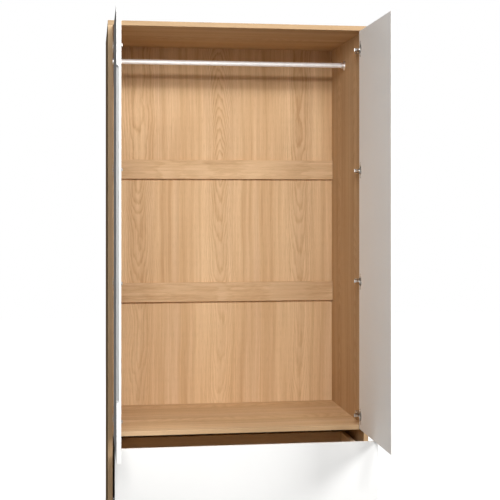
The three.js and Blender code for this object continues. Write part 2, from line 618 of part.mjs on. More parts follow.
// The members that are screwed on have a row of slots in the web.
function slotted(member) {
  const slots = RUNNER_SLOT_SHARES.map((share) =>
    slotTool(RUNNER_SLOT, RUNNER_SLOT_LENGTH, 3 * RUNNER_SHEET).translate(-RUNNER_SHEET, share * RUNNER_LENGTH, 0),
  );
  return toGeometry(cut(toSolid(member), ...slots));
}
onBothSides(chifforobe, (half, side) => {
  const cabinet = slotted(alongY(channel(outerHalf, outerDeep, RUNNER_LIP - RUNNER_PLAY), RUNNER_LENGTH));
  addMesh(half, `runner_cabinet_${side}`, cabinet, ZINC, SEAT, RUNNER_START, runnerHeight);
  const middle = alongY(channel(middleHalf, middleDeep, RUNNER_LIP), RUNNER_LENGTH);
  addMesh(half, `runner_middle_${side}`, middle, ZINC, SEAT + step, RUNNER_START - DRAWER_OUT / 2, runnerHeight);
});
onBothSides(drawer, (half, side) => {
  const inner = slotted(alongY(channel(innerHalf, innerDeep, 0), RUNNER_LENGTH));
  const mesh = addMesh(half, `runner_drawer_${side}`, inner, ZINC, SEAT + RUNNER_THICK, RUNNER_START, runnerHeight);
  mesh.rotation.y = Math.PI;
});

export default chifforobe;
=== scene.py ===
from math import pi

import bmesh
import bpy
from mathutils import Matrix, Vector


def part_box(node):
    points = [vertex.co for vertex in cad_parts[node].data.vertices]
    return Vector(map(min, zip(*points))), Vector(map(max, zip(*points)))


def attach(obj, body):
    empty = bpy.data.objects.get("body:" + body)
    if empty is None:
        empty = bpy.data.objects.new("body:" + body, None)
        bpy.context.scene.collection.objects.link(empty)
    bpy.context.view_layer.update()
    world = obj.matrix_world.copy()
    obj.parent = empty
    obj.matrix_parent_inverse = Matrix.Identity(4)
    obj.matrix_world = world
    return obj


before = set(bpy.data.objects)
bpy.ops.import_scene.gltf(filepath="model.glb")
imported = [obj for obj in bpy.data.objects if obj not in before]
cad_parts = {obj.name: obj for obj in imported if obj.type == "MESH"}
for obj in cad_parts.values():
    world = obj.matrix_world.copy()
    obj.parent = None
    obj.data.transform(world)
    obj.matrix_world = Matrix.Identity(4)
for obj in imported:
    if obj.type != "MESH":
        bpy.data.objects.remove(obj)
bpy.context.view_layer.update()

# Carcass boards: sides, top, closet floor, bottom and plinth. 18 mm board with matt lacquered oak veneer
# and lipped front edges, dowelled and glued. The grain runs up the sides and along every level board. The
# sides and the top take a darker copy of the oak, painted shade for the top's underside and the inner walls.
OAK = {
    "Light": (0.8, 0.566, 0.338, 1),
    "Dark": (0.545, 0.332, 0.17, 1),
    "Grey": (0.685, 0.492, 0.325, 1),
    "Pore": (0.3, 0.175, 0.085, 1),
}
# Painted shade: a darker copy of the oak for the sides and the top, so the top's underside and the closet's
# inner walls read shaded.
PAINTED_SHADE_OAK = {
    "Light": (0.61, 0.427, 0.253, 1),
    "Dark": (0.432, 0.27, 0.142, 1),
    "Grey": (0.525, 0.382, 0.242, 1),
}
FLOOR_OAK = {"Light": (0.71, 0.497, 0.29, 1), "Dark": (0.5, 0.31, 0.16, 1)}
OAK_RUBBED = (0.8, 0.63, 0.43, 1)
MIX_SOCKETS = {"RGBA": (6, 7, 2), "VECTOR": (4, 5, 1)}


def add_node(tree, kind, place, inputs=(), **settings):
    node = tree.nodes.new(kind)
    node.location = place
    for name, value in settings.items():
        setattr(node, name, value)
    for name, value in dict(inputs).items():
        socket = node.inputs[name]
        if isinstance(value, bpy.types.NodeSocket):
            tree.links.new(value, socket)
        else:
            socket.default_value = value
    return node


def math_node(tree, operation, place, *values, clamp=False):
    inputs = dict(enumerate(values))
    return add_node(tree, "ShaderNodeMath", place, inputs, operation=operation, use_clamp=clamp).outputs[0]


def vector_node(tree, operation, place, *values):
    inputs = dict(enumerate(values))
    return add_node(tree, "ShaderNodeVectorMath", place, inputs, operation=operation).outputs[0]


def shaded_colour(tree, place, colour, shade):
    inputs = {0: colour, "Scale": shade}
    return add_node(tree, "ShaderNodeVectorMath", place, inputs, operation="SCALE").outputs[0]


def mixed(tree, place, share, first, second, kind="RGBA"):
    start, end, result = MIX_SOCKETS[kind]
    inputs = {"Factor": share, start: first, end: second}
    return add_node(tree, "ShaderNodeMix", place, inputs, data_type=kind).outputs[result]


def ranged(tree, place, value, start, end, low, high):
    inputs = {"Value": value, "From Min": start, "From Max": end, "To Min": low, "To Max": high}
    return add_node(tree, "ShaderNodeMapRange", place, inputs).outputs[0]


def relief(tree, place, height, strength, depth):
    inputs = {"Height": height, "Strength": strength, "Distance": depth}
    return add_node(tree, "ShaderNodeBump", place, inputs).outputs[0]


def stretched_noise(tree, place, position, scales, detail, roughness):
    scaled = vector_node(tree, "MULTIPLY", place, position, scales)
    inputs = {"Vector": scaled, "Scale": 1.0, "Detail": detail, "Roughness": roughness}
    return add_node(tree, "ShaderNodeTexNoise", (place[0] + 180, place[1]), inputs).outputs["Fac"]


def new_group(name, inputs, outputs):
    group = bpy.data.node_groups.new(name, "ShaderNodeTree")
    for label, kind, value in inputs:
        socket = group.interface.new_socket(name=label, in_out="INPUT", socket_type="NodeSocket" + kind)
        socket.default_value = value
    for label, kind in outputs:
        group.interface.new_socket(name=label, in_out="OUTPUT", socket_type="NodeSocket" + kind)
    start = add_node(group, "NodeGroupInput", (-1600, 0))
    end = add_node(group, "NodeGroupOutput", (900, 0))
    return group, start.outputs, end.inputs


# Each kind of grain: its scales across, in depth and along, its detail and its roughness.
SWAY_GRAIN = ((0.6, 0.6, 1.8), 2.0, 0.5)
WANDER_GRAIN = ((1.2, 1.2, 3.4), 1.0, 0.5)
RIPPLE_GRAIN = ((34.0, 34.0, 5.5), 4.0, 0.65)
FIBRE_GRAIN = ((210.0, 210.0, 3.5), 4.0, 0.6)
STREAK_GRAIN = ((62.0, 62.0, 0.9), 3.0, 0.55)
BAND_GRAIN = ((17.0, 17.0, 0.5), 2.0, 0.5)
CLOUD_GRAIN = ((3.0, 3.0, 1.4), 1.0, 0.5)
PORE_GRAIN = ((1500.0, 1500.0, 26.0), 2.0, 0.5)
GREY_GRAIN = ((9.0, 9.0, 0.4), 1.0, 0.5)
SWAY = 0.05
WANDER = 0.022
RIPPLE = 2.4
RING_PROFILE = ((0.4, 0.15), (0.78, 1.0), (0.92, 0.4))
BLACK = (0.0, 0.0, 0.0, 1)
HEART_ZONE = (0.03, 0.1)
FAR_ARCH = 0.35
BAND_TONE = 1.5
CLOUD_TONE = 0.6
TONE_LEVEL = -1.74
PORE_ZONE = (0.56, 0.68)
PORE_MOST = 0.32
GREY_ZONE = (0.42, 0.62)
GREY_MOST = 0.4
OAK_ROUGHNESS = 0.5
DARK_ROUGHNESS = 0.1
PORE_ROUGHNESS = 0.25
FIBRE_HEIGHT = 0.25
PORE_HEIGHT = -0.6


def make_oak_figure():
    """Sawn oak: growth rings cut by the face into narrow arches about each leaf's heart, straight bands
    and fibres between them, and short pores.

    Across, Depth and Along are the vector's X, Y and Z, in metres. The rings run round the tree's pith,
    which lies below the face: where Lean is over 0 it goes deeper along the leaf, and the arches close."""
    tree, given, out = new_group(
        "oak_figure",
        [
            ("Position", "Vector", (0, 0, 0)),
            *((label, "Color", colour) for label, colour in OAK.items()),
            ("Leaf Width", "Float", 0.35),
            ("Ring Width", "Float", 0.0045),
            ("Arch", "Float", 0.5),
            ("Heart", "Float", 0.0),
            ("Lean", "Float", 0.06),
            ("Leaf Drift", "Float", 0.02),
            ("Leaf Fade", "Float", 0.0),
        ],
        [("Color", "Color"), ("Roughness", "Float"), ("Height", "Float")],
    )
    position = given["Position"]
    parts = add_node(tree, "ShaderNodeSeparateXYZ", (-1400, 200), {0: position}).outputs
    sway = stretched_noise(tree, (-1400, -50), position, *SWAY_GRAIN)
    sway = math_node(tree, "MULTIPLY_ADD", (-1050, -50), sway, SWAY, -SWAY / 2)
    across = math_node(tree, "ADD", (-1050, 150), parts["X"], sway)
    half_leaf = math_node(tree, "MULTIPLY", (-1050, 320), given["Leaf Width"], 0.5)
    other_half = math_node(tree, "MULTIPLY", (-1050, 480), given["Leaf Width"], -0.5)
    in_leaf = math_node(tree, "WRAP", (-850, 200), across, half_leaf, other_half)
    from_heart = math_node(tree, "ABSOLUTE", (-680, 200), in_leaf)
    leaf_start = math_node(tree, "SUBTRACT", (-850, 20), across, in_leaf)
    leaf_drift = math_node(tree, "MULTIPLY", (-680, 20), leaf_start, given["Leaf Drift"])

    outer_leaf = math_node(tree, "ABSOLUTE", (-850, -400), leaf_start)
    fade = math_node(tree, "MULTIPLY", (-850, -300), outer_leaf, given["Leaf Fade"])
    lean = math_node(tree, "SUBTRACT", (-850, -200), given["Lean"], fade)
    wander = stretched_noise(tree, (-1400, -260), position, *WANDER_GRAIN)
    wander = math_node(tree, "MULTIPLY_ADD", (-1050, -260), wander, WANDER, -WANDER / 2)
    below = math_node(tree, "MULTIPLY_ADD", (-850, -120), parts["Z"], lean, given["Heart"])
    below = math_node(tree, "ADD", (-680, -120), below, wander)
    below = math_node(tree, "ADD", (-600, -60), below, leaf_drift)
    below = math_node(tree, "ADD", (-520, -120), below, parts["Y"])

    squared = math_node(tree, "POWER", (-520, 200), from_heart, 2.0)
    squared_below = math_node(tree, "MULTIPLY", (-360, -120), below, below)
    radius = math_node(tree, "ADD", (-360, 60), squared, squared_below)
    radius = math_node(tree, "SQRT", (-200, 60), radius)
    ripple = stretched_noise(tree, (-1000, -470), position, *RIPPLE_GRAIN)
    rings = math_node(tree, "DIVIDE", (-40, 60), radius, given["Ring Width"])
    rings = math_node(tree, "MULTIPLY_ADD", (110, 60), ripple, RIPPLE, rings)
    phase = math_node(tree, "FRACT", (260, 60), rings)
    ring = add_node(tree, "ShaderNodeValToRGB", (-200, 420), {"Fac": phase})
    ring.color_ramp.elements[0].color = BLACK
    for place, value in RING_PROFILE:
        ring.color_ramp.elements.new(place).color = (value, value, value, 1)
    ring.color_ramp.elements[-1].color = BLACK
    near_heart = ranged(tree, (-200, 700), from_heart, *HEART_ZONE, 1.0, FAR_ARCH)
    arch = math_node(tree, "MULTIPLY", (110, 420), ring.outputs["Color"], given["Arch"])
    arch = math_node(tree, "MULTIPLY", (260, 420), arch, near_heart)

    leaf_parts = {"X": in_leaf, "Y": leaf_drift, "Z": parts["Z"]}
    leaf_place = add_node(tree, "ShaderNodeCombineXYZ", (-1250, -760), leaf_parts).outputs[0]
    fibre = stretched_noise(tree, (-1000, -680), position, *FIBRE_GRAIN)
    streak = stretched_noise(tree, (-1000, -780), leaf_place, *STREAK_GRAIN)
    band = stretched_noise(tree, (-1000, -880), leaf_place, *BAND_GRAIN)
    cloud = stretched_noise(tree, (-1000, -1080), position, *CLOUD_GRAIN)
    tone = math_node(tree, "ADD", (-400, -680), fibre, streak)
    tone = math_node(tree, "MULTIPLY_ADD", (-220, -720), band, BAND_TONE, tone)
    tone = math_node(tree, "MULTIPLY_ADD", (-60, -760), cloud, CLOUD_TONE, tone)
    tone = math_node(tree, "ADD", (100, -800), tone, TONE_LEVEL)
    tone = math_node(tree, "ADD", (260, 300), tone, arch, clamp=True)

    pores = stretched_noise(tree, (-1000, -1280), position, *PORE_GRAIN)
    pores = ranged(tree, (-400, -1280), pores, *PORE_ZONE, 0.0, PORE_MOST)
    greyness = stretched_noise(tree, (-1000, -1480), leaf_place, *GREY_GRAIN)
    greyness = ranged(tree, (-400, -1480), greyness, *GREY_ZONE, 0.0, GREY_MOST)
    light = mixed(tree, (260, 560), greyness, given["Light"], given["Grey"])
    wood = mixed(tree, (440, 300), tone, light, given["Dark"])
    colour = mixed(tree, (640, 300), pores, wood, given["Pore"])
    rough = math_node(tree, "MULTIPLY_ADD", (440, 0), tone, DARK_ROUGHNESS, OAK_ROUGHNESS)
    rough = math_node(tree, "MULTIPLY_ADD", (640, 0), pores, PORE_ROUGHNESS, rough)
    height = math_node(tree, "MULTIPLY", (260, -200), fibre, FIBRE_HEIGHT)
    height = math_node(tree, "MULTIPLY_ADD", (440, -200), pores, PORE_HEIGHT, height)
    tree.links.new(colour, out["Color"])
    tree.links.new(rough, out["Roughness"])
    tree.links.new(height, out["Height"])
    return tree


WEAR_GRAIN = ((60.0, 60.0, 60.0), 4.0, 0.65)


def make_arris_wear():
    """A mask of the worn arrises of a board, from the board's centre and half size, in metres."""
    tree, given, out = new_group(
        "arris_wear",
        [
            ("Position", "Vector", (0, 0, 0)),
            ("Centre", "Vector", (0, 0, 0)),
            ("Half Size", "Vector", (1, 1, 1)),
            ("Width", "Float", 0.0016),
        ],
        [("Mask", "Float")],
    )
    offset = vector_node(tree, "SUBTRACT", (-1300, 0), given["Position"], given["Centre"])
    away = vector_node(tree, "ABSOLUTE", (-1100, 0), offset)
    inside = vector_node(tree, "SUBTRACT", (-900, 0), given["Half Size"], away)
    x, y, z = add_node(tree, "ShaderNodeSeparateXYZ", (-700, 0), {0: inside}).outputs
    total = math_node(tree, "ADD", (-500, 0), math_node(tree, "ADD", (-640, -160), x, y), z)
    most = math_node(tree, "MAXIMUM", (-500, -160), math_node(tree, "MAXIMUM", (-640, -320), x, y), z)
    near = math_node(tree, "SUBTRACT", (-300, 0), total, most)
    patches = stretched_noise(tree, (-900, -420), given["Position"], *WEAR_GRAIN)
    reach = math_node(tree, "MULTIPLY", (-300, -300), patches, given["Width"])
    share = math_node(tree, "DIVIDE", (-120, 0), near, reach)
    mask = math_node(tree, "SUBTRACT", (60, 0), 1.0, share, clamp=True)
    tree.links.new(mask, out["Mask"])
    return tree


oak_figure = make_oak_figure()
arris_wear = make_arris_wear()


def new_material(name):
    material = bpy.data.materials.new(name)
    material.use_nodes = True
    tree = material.node_tree
    tree.nodes.clear()
    shader = add_node(tree, "ShaderNodeBsdfPrincipled", (600, 0))
    output = add_node(tree, "ShaderNodeOutputMaterial", (900, 0))
    tree.links.new(shader.outputs[0], output.inputs[0])
    place = add_node(tree, "ShaderNodeTexCoord", (-1200, 0)).outputs["Object"]
    return material, tree, shader.inputs, place


def finish_skin(tree, shader, colour, rough, normal):
    tree.links.new(colour, shader["Base Color"])
    tree.links.new(rough, shader["Roughness"])
    tree.links.new(normal, shader["Normal"])


def worn_mask(tree, node_name, place, width):
    low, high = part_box(node_name)
    inputs = {"Position": place, "Centre": (low + high) / 2, "Half Size": (high - low) / 2, "Width": width}
    return add_node(tree, "ShaderNodeGroup", (-300, -400), inputs, node_tree=arris_wear).outputs["Mask"]


EDGE_STRIP = 0.0008
STRIP_JOINT = 0.00012
STRIP_SHIFT = (0.021, 0.0, 0.87)
GLUE_LINE = 0.5
OAK_WEAR = 0.0022
OAK_WEAR_MOST = 0.35
OAK_RELIEF = (0.25, 0.0004)


def edge_strip(tree, node_name, moved, depth):
    """A front edge is lipped with a strip of its own: its figure is another one, behind a fine glue line."""
    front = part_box(node_name)[0].y + EDGE_STRIP
    strip = math_node(tree, "LESS_THAN", (-840, -520), depth, front)
    strip_place = vector_node(tree, "ADD", (-660, -620), moved, STRIP_SHIFT)
    figure_place = mixed(tree, (-520, -520), strip, moved, strip_place, "VECTOR")
    line = math_node(tree, "COMPARE", (-840, -740), depth, front, STRIP_JOINT)
    return figure_place, line, strip


def veneer(node_name, across, along, shift, figure, edge_painted_light=None):
    """Oak veneer for one board. Across and along name the row's axes; shift moves the figure on the board.
    A board given the last argument has a lipped front edge, its colour scaled by it: painted light where it
    is over 1, painted shade where it is under 1."""
    material, tree, shader, place = new_material("oak_" + node_name)
    depth = ({"X", "Y", "Z"} - {across, along}).pop()
    parts = add_node(tree, "ShaderNodeSeparateXYZ", (-1000, 0), {0: place}).outputs
    turned = {"X": parts[across], "Y": parts[depth], "Z": parts[along]}
    turned = add_node(tree, "ShaderNodeCombineXYZ", (-840, 0), turned).outputs[0]
    moved = vector_node(tree, "ADD", (-660, 0), turned, shift)
    line = 0.0
    shade = 1.0
    # Painted light and shade: the lipped front edge's colour is scaled apart from the faces.
    if edge_painted_light:
        moved, line, strip = edge_strip(tree, node_name, moved, parts["Y"])
        shade = math_node(tree, "MULTIPLY_ADD", (-420, -200), strip, edge_painted_light - 1.0, 1.0)
    inputs = {"Position": moved, **figure}
    wood = add_node(tree, "ShaderNodeGroup", (-420, 100), inputs, node_tree=oak_figure).outputs
    mask = worn_mask(tree, node_name, place, OAK_WEAR)
    mask = math_node(tree, "MULTIPLY", (-80, -300), mask, OAK_WEAR_MOST)
    glue = math_node(tree, "MULTIPLY", (120, 20), line, GLUE_LINE)
    shaded = shaded_colour(tree, (-60, 200), wood["Color"], shade)
    worn = mixed(tree, (120, 200), mask, shaded, OAK_RUBBED)
    colour = mixed(tree, (300, 200), glue, worn, OAK["Pore"])
    normal = relief(tree, (300, -300), wood["Height"], *OAK_RELIEF)
    finish_skin(tree, shader, colour, wood["Roughness"], normal)
    shader["Specular IOR Level"].default_value = 0.0
    return material


def dress(node_name, material):
    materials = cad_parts[node_name].data.materials
    materials.clear()
    materials.append(material)


# The last column scales each lipped front edge: painted light on the sides' edges, painted shade on the
# others.
for name, across, along, shift, heart, oak, edge_painted_light in (
    ("side_panel_left", "Y", "Z", (0.13, 0.5, 0.4), 0.012, PAINTED_SHADE_OAK, 1.12),
    ("side_panel_right", "Y", "Z", (0.2, -0.5, 1.3), 0.02, PAINTED_SHADE_OAK, 1.12),
    ("top_panel", "Y", "X", (0.05, -1.97, 2.2), 0.015, PAINTED_SHADE_OAK, 0.82),
    ("closet_floor", "Y", "X", (0.11, -0.43, 3.1), 0.02, FLOOR_OAK, 0.95),
    ("bottom_panel", "Y", "X", (0.02, -0.08, 5.3), 0.02, OAK, 0.95),
):
    figure = {"Leaf Width": 0.29, "Arch": 0.36, "Heart": heart, **oak}
    dress(name, veneer(name, across, along, shift, figure, edge_painted_light))
for name, shift in (("plinth_front", (0.07, 0.1, 4.6)), ("plinth_rear", (0.15, -0.4, 6.4))):
    dress(name, veneer(name, "Z", "X", shift, {"Arch": 0.35, "Heart": 0.03}))

# Back panels: thin veneered board, four pieces slid into the rebates of sides and top and pinned there.
# The leaves of veneer are slip-matched, so upright arches about a heart come back every 35 cm.
LEAF_WIDTH = 0.349
LEAF_HEART = 0.012
BACK_RING = 0.0047
BACK_PLANE = -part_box("back_panel_lower")[0].y
for name, arch, heart, lean, drift, fade in (
    ("back_panel_drawer_bay", 0.4, 0.02, 0.06, 0.03, 0.0),
    ("back_panel_lower", 0.34, -0.078, 0.03, 0.03, 0.0),
    ("back_panel_middle", 0.46, -0.128, 0.055, 0.01, 0.0),
    ("back_panel_upper", 0.56, -0.128, 0.1, 0.085, 0.24),
):
    figure = {"Leaf Width": LEAF_WIDTH, "Ring Width": BACK_RING, "Arch": arch, "Heart": heart}
    figure |= {"Lean": lean, "Leaf Drift": drift, "Leaf Fade": fade}
    dress(name, veneer(name, "X", "Z", (LEAF_HEART, BACK_PLANE, 0.0), figure))

PIN_RADIUS = 0.0018
PIN_DOME = 0.0006
PIN_SPACING = 0.13
PIN_EDGE = 0.005
PIN_FROM_END = 0.015
PIN_FROM_SIDE = 0.04
PIN_SIDES = 10
SCREW_SIDES = 20
HEAD_SPIN = 0.7
CROSS_ARM = 0.42
CROSS_HALF = 0.13
CROSS_FLOOR = 0.7
RIM_SHARE = 0.97
CROWN_SHARE = 0.8


def new_piece(name, mesh, material):
    bmesh.ops.recalc_face_normals(mesh, faces=mesh.faces)
    data = bpy.data.meshes.new(name)
    mesh.to_mesh(data)
    mesh.free()
    data.materials.append(material)
    piece = bpy.data.objects.new(name, data)
    bpy.context.scene.collection.objects.link(piece)
    return piece


def bridge(mesh, lower, upper):
    """Faces between two loops of as many points."""
    for k, vertex in enumerate(lower):
        after = (k + 1) % len(lower)
        mesh.faces.new((vertex, lower[after], upper[after], upper[k]))


def domed_heads(name, places, body, radius, dome, material, slot, recess=0.0, sides=SCREW_SIDES):
    """Domed heads of pins or screws at (point, outward direction) places, as one piece; a screw's recess
    is a cross that is this deep."""
    mesh = bmesh.new()
    for number, (point, outward) in enumerate(places):
        turn = Vector((0, 0, 1)).rotation_difference(Vector(outward)).to_matrix().to_4x4()
        head = Matrix.Translation(point) @ turn @ Matrix.Rotation(HEAD_SPIN * number, 4, "Z")

        def ring(reach, height):
            turns = [Matrix.Rotation(2 * pi * k / sides, 4, "Z") for k in range(sides)]
            return [mesh.verts.new(head @ (step @ Vector((reach, 0, height)))) for step in turns]

        def cross(height, share):
            arm, half = CROSS_ARM * radius * share, CROSS_HALF * radius * share
            quarter = [Vector((x, y, height)) for x, y in ((arm, -half), (arm, half), (half, half))]
            turns = [Matrix.Rotation(pi * k / 2, 4, "Z") for k in range(4)]
            return [mesh.verts.new(head @ (step @ corner)) for step in turns for corner in quarter]

        foot = ring(radius, 0.0)
        rim = ring(RIM_SHARE * radius, dome / 2)
        crown = ring(CROWN_SHARE * radius, dome)
        bridge(mesh, foot, rim)
        bridge(mesh, rim, crown)
        mesh.faces.new(list(reversed(foot)))
        if recess:
            mouth = cross(dome, 1.0)
            floor = cross(dome - recess, CROSS_FLOOR)
            bridge(mesh, mouth, floor)
            mesh.faces.new(floor)
            loops = (crown, mouth)
            edges = [mesh.edges.get((loop[k - 1], loop[k])) for loop in loops for k in range(len(loop))]
            bmesh.ops.triangle_fill(mesh, edges=edges, use_beauty=True)
        else:
            mesh.faces.new(crown)
    piece = new_piece(name, mesh, material)
    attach(piece, body)


def evenly(low, high, spacing):
    count = max(1, round((high - low) / spacing))
    return [low + (high - low) * k / count for k in range(count + 1)]


def pinned_edges(node_name):
    """Places for panel pins round a back panel, on its rear face."""
    low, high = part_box(node_name)
    ups = evenly(low.z + PIN_FROM_END, high.z - PIN_FROM_END, PIN_SPACING)
    acrosses = evenly(low.x + PIN_FROM_SIDE, high.x - PIN_FROM_SIDE, PIN_SPACING)
    places = [(x, z) for x in (low.x + PIN_EDGE, high.x - PIN_EDGE) for z in ups]
    places += [(x, z) for z in (low.z + PIN_EDGE, high.z - PIN_EDGE) for x in acrosses]
    return [((x, high.y, z), (0, 1, 0)) for x, z in places]


LINE_DETAIL = 3.0
LINE_ROUGHNESS = 0.5
MARK_GRAIN = ((45.0, 45.0, 45.0), 3.0, 0.6)
GLOSS_ZONE = (0.3, 0.7)
MARK_SHADE = 0.22
LEAST_SHADE = 0.87
METAL_RELIEF = (0.4, 0.00002)


def make_drawn_metal():
    """Fine lines along one axis, as drawing or brushing leaves them, and faint handling marks."""
    tree, given, out = new_group(
        "drawn_metal",
        [
            ("Position", "Vector", (0, 0, 0)),
            ("Lines", "Vector", (20, 900, 900)),
            ("Color", "Color", (0.8, 0.8, 0.8, 1)),
            ("Smooth", "Float", 0.2),
            ("Rough", "Float", 0.4),
        ],
        [("Color", "Color"), ("Roughness", "Float"), ("Height", "Float")],
    )
    position = given["Position"]
    lines = stretched_noise(tree, (-1300, 0), position, given["Lines"], LINE_DETAIL, LINE_ROUGHNESS)
    marks = stretched_noise(tree, (-1300, -300), position, *MARK_GRAIN)
    both = math_node(tree, "ADD", (-700, 0), lines, marks)
    share = math_node(tree, "MULTIPLY", (-500, 0), both, 0.5)
    rough = ranged(tree, (-300, -100), share, *GLOSS_ZONE, given["Smooth"], given["Rough"])
    shade = math_node(tree, "MULTIPLY_ADD", (-300, 200), marks, MARK_SHADE, LEAST_SHADE)
    tree.links.new(shaded_colour(tree, (-80, 200), given["Color"], shade), out["Color"])
    tree.links.new(rough, out["Roughness"])
    tree.links.new(lines, out["Height"])
    return tree


drawn_metal = make_drawn_metal()


def metal(name, colour, lines, smooth, rough, metallic=1.0):
    """A drawn, rolled or plated metal. Lines are its noise scales: the axis it was drawn along has the
    smallest. Smooth and rough are the ends of its roughness."""
    material, tree, shader, place = new_material(name)
    inputs = {"Position": place, "Lines": lines, "Color": (*colour, 1), "Smooth": smooth, "Rough": rough}
    skin = add_node(tree, "ShaderNodeGroup", (-300, 0), inputs, node_tree=drawn_metal).outputs
    normal = relief(tree, (200, -300), skin["Height"], *METAL_RELIEF)
    finish_skin(tree, shader, skin["Color"], skin["Roughness"], normal)
    shader["Metallic"].default_value = metallic
    return material


pin_steel = metal("pin_steel", (0.5, 0.49, 0.48), (300, 300, 300), smooth=0.3, rough=0.5)
pin_places = []
for name in ("drawer_bay", "lower", "middle", "upper"):
    pin_places += pinned_edges("back_panel_" + name)
domed_heads("back_pins", pin_places, "carcass", PIN_RADIUS, PIN_DOME, pin_steel, "zinc", sides=PIN_SIDES)

# Battens: two boards across the joints of the back panels, veneered with level and nearly straight
# grain, glued to the panels and dowelled to the sides.
BATTEN_OAK = {"Light": (0.74, 0.52, 0.312, 1), "Dark": (0.52, 0.322, 0.168, 1)}
for name, shift, heart in (
    ("back_batten_upper", (-1.46, -BACK_PLANE, 0.4), 0.02),
    ("back_batten_lower", (-0.93, -BACK_PLANE, 1.9), 0.03),
):
    dress(name, veneer(name, "Z", "X", shift, {"Arch": 0.35, "Heart": heart, "Lean": 0.012, **BATTEN_OAK}))

# Hanging rail and its sockets: drawn aluminium tube, anodised nearly white, pushed into two turned
# sockets that are screwed to the sides.
RAIL_WHITE = (0.93, 0.93, 0.935)
rail_aluminium = metal("rail_aluminium", RAIL_WHITE, (12, 1200, 1200), smooth=0.42, rough=0.55, metallic=0.25)
dress("hanging_rail", rail_aluminium)
socket_aluminium = metal("socket_aluminium", RAIL_WHITE, (900, 60, 60), smooth=0.3, rough=0.42)
screw_steel = metal("screw_steel", (0.6, 0.59, 0.57), (300, 300, 300), smooth=0.22, rough=0.4)
SCREW_DOME = 0.0009
CROSS_DEPTH = 0.0007
SOCKET_PLATE = 0.003
SOCKET_SCREW = 0.0025
SOCKET_SCREW_REACH = 0.0158
for side, inward in (("left", 1), ("right", -1)):
    socket = f"rail_socket_{side}"
    dress(socket, socket_aluminium)
    low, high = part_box(socket)
    middle = (low + high) / 2
    face = (low.x if side == "left" else high.x) + inward * SOCKET_PLATE
    rises = (middle.z - SOCKET_SCREW_REACH, middle.z + SOCKET_SCREW_REACH)
    places = [((face, middle.y, rise), (inward, 0, 0)) for rise in rises]
    name = f"socket_screws_{side}"
    domed_heads(name, places, "carcass", SOCKET_SCREW, SCREW_DOME, screw_steel, "rail_metal", CROSS_DEPTH)

# Doors and drawer front: 16 mm board, sprayed white and rubbed to a satin. A finger pull is milled in
# the free edge of each door.
LACQUER = (0.905, 0.9, 0.885, 1)
LACQUER_RUBBED = (0.8, 0.78, 0.74, 1)
LACQUER_WEAR = 0.0018
LACQUER_WEAR_MOST = 0.4
LACQUER_RELIEF = (0.12, 0.0002)
DRIFT_GRAIN = ((2.2, 2.2, 1.1), 2.0, 0.5)
HAND_GRAIN = ((17.0, 17.0, 17.0), 4.0, 0.6)
PEEL_GRAIN = ((420.0, 420.0, 420.0), 2.0, 0.4)
DRIFT_SHADE = 0.05
HAND_SHADE = 0.012
DARKEST_SHADE = 0.975
SATIN_ROUGHNESS = 0.26
HAND_ROUGHNESS = 0.16
RUBBED_ROUGHNESS = 0.2


def make_sprayed_lacquer():
    """A sprayed coat: slight orange peel, a faint unevenness in shade and gloss, rubbed arrises."""
    tree, given, out = new_group(
        "sprayed_lacquer",
        [
            ("Position", "Vector", (0, 0, 0)),
            ("Coat", "Color", LACQUER),
            ("Rubbed", "Color", LACQUER_RUBBED),
            ("Worn", "Float", 0.0),
        ],
        [("Color", "Color"), ("Roughness", "Float"), ("Height", "Float")],
    )
    drift = stretched_noise(tree, (-1300, 0), given["Position"], *DRIFT_GRAIN)
    hand = stretched_noise(tree, (-1300, -250), given["Position"], *HAND_GRAIN)
    peel = stretched_noise(tree, (-1300, -500), given["Position"], *PEEL_GRAIN)
    shade = math_node(tree, "MULTIPLY_ADD", (-800, 0), drift, DRIFT_SHADE, DARKEST_SHADE)
    shade = math_node(tree, "MULTIPLY_ADD", (-640, 0), hand, HAND_SHADE, shade)
    coat = shaded_colour(tree, (-440, 100), given["Coat"], shade)
    rough = math_node(tree, "MULTIPLY_ADD", (-440, -250), hand, HAND_ROUGHNESS, SATIN_ROUGHNESS)
    rough = math_node(tree, "MULTIPLY_ADD", (-200, -250), given["Worn"], RUBBED_ROUGHNESS, rough)
    tree.links.new(mixed(tree, (-200, 100), given["Worn"], coat, given["Rubbed"]), out["Color"])
    tree.links.new(rough, out["Roughness"])
    tree.links.new(peel, out["Height"])
    return tree


sprayed_lacquer = make_sprayed_lacquer()


def lacquered(node_name):
    material, tree, shader, place = new_material("lacquer_" + node_name)
    worn = worn_mask(tree, node_name, place, LACQUER_WEAR)
    worn = math_node(tree, "MULTIPLY", (-100, -400), worn, LACQUER_WEAR_MOST)
    inputs = {"Position": place, "Worn": worn}
    coat = add_node(tree, "ShaderNodeGroup", (100, 0), inputs, node_tree=sprayed_lacquer).outputs
    normal = relief(tree, (340, -300), coat["Height"], *LACQUER_RELIEF)
    finish_skin(tree, shader, coat["Color"], coat["Roughness"], normal)
    shader["Specular IOR Level"].default_value = 0.0
    return material


for name in ("door_left", "door_right", "drawer_front"):
    dress(name, lacquered(name))

